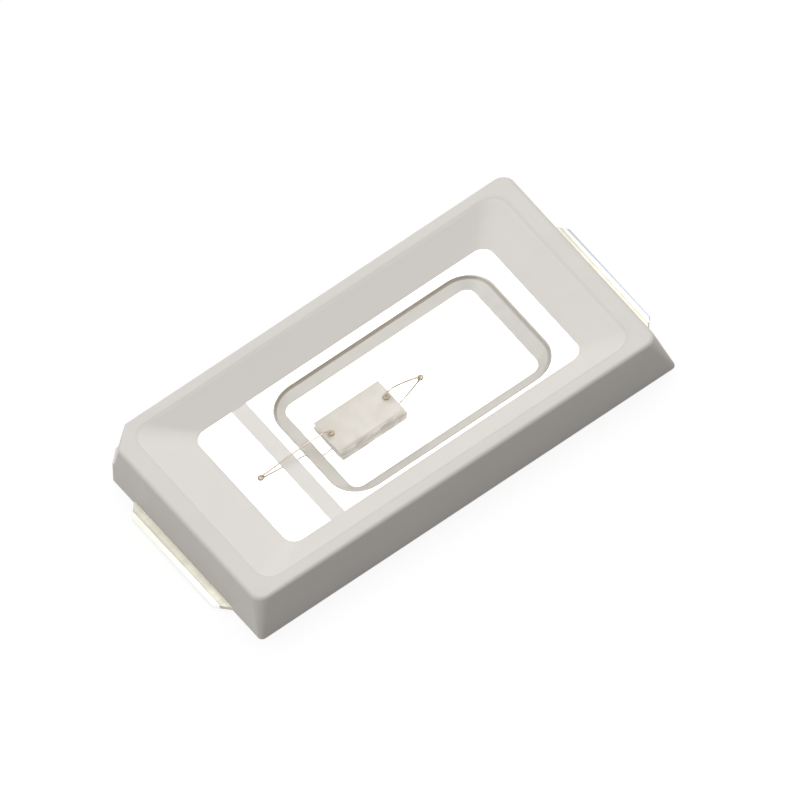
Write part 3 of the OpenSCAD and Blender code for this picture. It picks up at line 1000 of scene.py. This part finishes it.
class LED_OT_resin(bpy.types.Operator):
    """Models the clear resin that fills the cavity and the cup"""

    bl_idname = "led.resin"
    bl_label = "Resin"

    def execute(self, context):
        body, lead, resin = context.scene.led_body, context.scene.led_lead, context.scene.led_resin
        hold = resin.hold
        lip = lead.cup_lip
        surface = []
        for inset, fall in DIP_STEPS:
            level = cavity_outline(body, lead, resin.fill, -inset)
            surface.append(level._replace(z=resin.fill - fall * resin.dip))
        piece = loft("clear_resin", [
            cup_outline(lead, lead.thickness - hold, lead.cup_slope - hold, lead.cup_floor_radius),
            cup_outline(lead, lead.top - lip - hold, lip - hold, lead.cup_radius - lip + hold),
            cup_outline(lead, lead.top - hold, -hold, lead.cup_radius + hold),
            cavity_outline(body, lead, lead.top, hold)._replace(z=lead.top - hold),
            cavity_outline(body, lead, resin.fill, hold),
            *surface])
        smooth(piece, degrees=40)
        hand_over(piece, resin_material(resin), "clear_resin", "encapsulant")
        return {"FINISHED"}


# Stage

# Directions from the part to the large soft lamp and to the side lamp
KEY_DIRECTION = (0.26, 0.26, 0.93)
FILL_DIRECTION = (-0.95, 0.1, 0.18)


def camera_axes(stage):
    """The picture's right, up and back directions."""
    azimuth, elevation, roll = stage.azimuth, stage.elevation, stage.roll
    back = Vector((math.sin(azimuth) * math.cos(elevation), -math.cos(azimuth) * math.cos(elevation),
                   math.sin(elevation)))
    level = Vector((math.cos(azimuth), math.sin(azimuth), 0))
    upright = back.cross(level)
    right = math.cos(roll) * level + math.sin(roll) * upright
    return right, back.cross(right), back


def add_camera(stage):
    """A camera without perspective, which looks down at the part from its front left."""
    right, up, back = camera_axes(stage)
    centre = right * stage.aim_right + up * stage.aim_up
    bpy.ops.object.camera_add()
    camera = bpy.context.object
    turn = Matrix((right, up, back)).transposed().to_4x4()
    camera.matrix_world = Matrix.Translation(centre + back * stage.camera_distance) @ turn
    camera.data.type = "ORTHO"
    camera.data.ortho_scale = stage.view_width
    camera.data.clip_start, camera.data.clip_end = MM, 1000 * MM
    bpy.context.scene.camera = camera


def add_lamp(direction, distance, diameter, watts):
    """A round lamp that faces the origin."""
    bpy.ops.object.light_add(type="AREA", location=Vector(direction) * distance)
    lamp = bpy.context.object
    lamp.data.shape = "DISK"
    lamp.data.size = diameter
    lamp.data.energy = watts
    lamp.rotation_euler = (-lamp.location).to_track_quat("-Z", "Y").to_euler()


def shown_white(tree):
    """1 where the camera sees a surface, also mirrored or through resin, and 0 where it only lights."""
    path = tree.nodes.new("ShaderNodeLightPath")
    seen = path.outputs["Is Camera Ray"]
    for name in ("Is Glossy Ray", "Is Transmission Ray"):
        seen = maths(tree, "MAXIMUM", seen, path.outputs[name])
    unscattered = maths(tree, "LESS_THAN", path.outputs["Diffuse Depth"], 0.5)
    return maths(tree, "MULTIPLY", seen, unscattered)


def world_light(strength):
    """Surroundings that look white and light the part more softly."""
    world = bpy.data.worlds.new("Surroundings")
    world.use_nodes = True
    tree = world.node_tree
    level = tree.nodes.new("ShaderNodeMapRange")
    wire_up(tree, level, {"Value": shown_white(tree), "To Min": strength, "To Max": 1})
    white = {"Color": (1, 1, 1, 1), "Strength": level.outputs["Result"]}
    wire_up(tree, tree.nodes["Background"], white)
    return world


def matt_grey(tree, grey):
    """A matt surface that throws this share of the light back."""
    node = tree.nodes.new("ShaderNodeBsdfDiffuse")
    wire_up(tree, node, {"Color": (grey, grey, grey, 1)})
    return node.outputs[0]


def floor_material(stage):
    """A pale floor that looks white, keeps the part's shadow and throws little light back."""
    material = bpy.data.materials.new("Pale floor")
    material.use_nodes = True
    tree = material.node_tree
    tree.nodes.clear()
    output = tree.nodes.new("ShaderNodeOutputMaterial")
    glow = tree.nodes.new("ShaderNodeEmission")
    wire_up(tree, glow, {"Strength": stage.floor_glow})
    bright = tree.nodes.new("ShaderNodeAddShader")
    wire_up(tree, bright, {0: matt_grey(tree, stage.shadow_grey), 1: glow.outputs[0]})
    lit = matt_grey(tree, stage.floor_grey)
    mix = tree.nodes.new("ShaderNodeMixShader")
    wire_up(tree, mix, {0: shown_white(tree), 1: lit, 2: bright.outputs[0]})
    tree.links.new(mix.outputs[0], output.inputs["Surface"])
    return material


class LED_OT_stage(bpy.types.Operator):
    """Sets up the camera, the floor, the lamps and the white surroundings"""

    bl_idname = "led.stage"
    bl_label = "Stage"

    def execute(self, context):
        stage = context.scene.led_stage
        select_nothing()
        add_camera(stage)
        bpy.ops.mesh.primitive_plane_add(size=stage.floor_size)
        floor = context.object
        floor.name = "floor"
        floor.data.materials.append(floor_material(stage))
        add_lamp(KEY_DIRECTION, stage.lamp_distance, stage.key_size, stage.key_power)
        add_lamp(FILL_DIRECTION, stage.lamp_distance, stage.fill_size, stage.fill_power)
        context.scene.world = world_light(stage.sky)
        context.scene.view_settings.view_transform = "Standard"
        return {"FINISHED"}


# Panel and registration

# In the order of the operators that they belong to
SETTINGS = {
    "led_lead": LeadSettings,
    "led_body": BodySettings,
    "led_chip": ChipSettings,
    "led_wire": WireSettings,
    "led_resin": ResinSettings,
    "led_stage": StageSettings,
}
OPERATORS = (LED_OT_leads, LED_OT_housing, LED_OT_chip, LED_OT_wires, LED_OT_resin, LED_OT_stage)


class LED_PT_panel(bpy.types.Panel):
    """Lists the LED's settings and operators"""

    bl_label = "Surface-Mount LED"
    bl_idname = "LED_PT_panel"
    bl_space_type = "VIEW_3D"
    bl_region_type = "UI"
    bl_category = "LED"

    def draw(self, context):
        for operator, settings in zip(OPERATORS, SETTINGS):
            box = self.layout.box()
            box.operator(operator.bl_idname)
            group = getattr(context.scene, settings)
            for name in group.bl_rna.properties.keys():
                if name not in ("rna_type", "name"):
                    box.prop(group, name)


def register():
    for cls in (*SETTINGS.values(), *OPERATORS, LED_PT_panel):
        bpy.utils.register_class(cls)
    for name, cls in SETTINGS.items():
        setattr(bpy.types.Scene, name, bpy.props.PointerProperty(type=cls))


def unregister():
    for name in SETTINGS:
        delattr(bpy.types.Scene, name)
    for cls in reversed((*SETTINGS.values(), *OPERATORS, LED_PT_panel)):
        bpy.utils.unregister_class(cls)


def main():
    register()
    bpy.ops.led.leads()
    bpy.ops.led.housing()
    bpy.ops.led.chip()
    bpy.ops.led.wires()
    bpy.ops.led.resin()
    bpy.ops.led.stage()


if __name__ == "__main__":
    main()
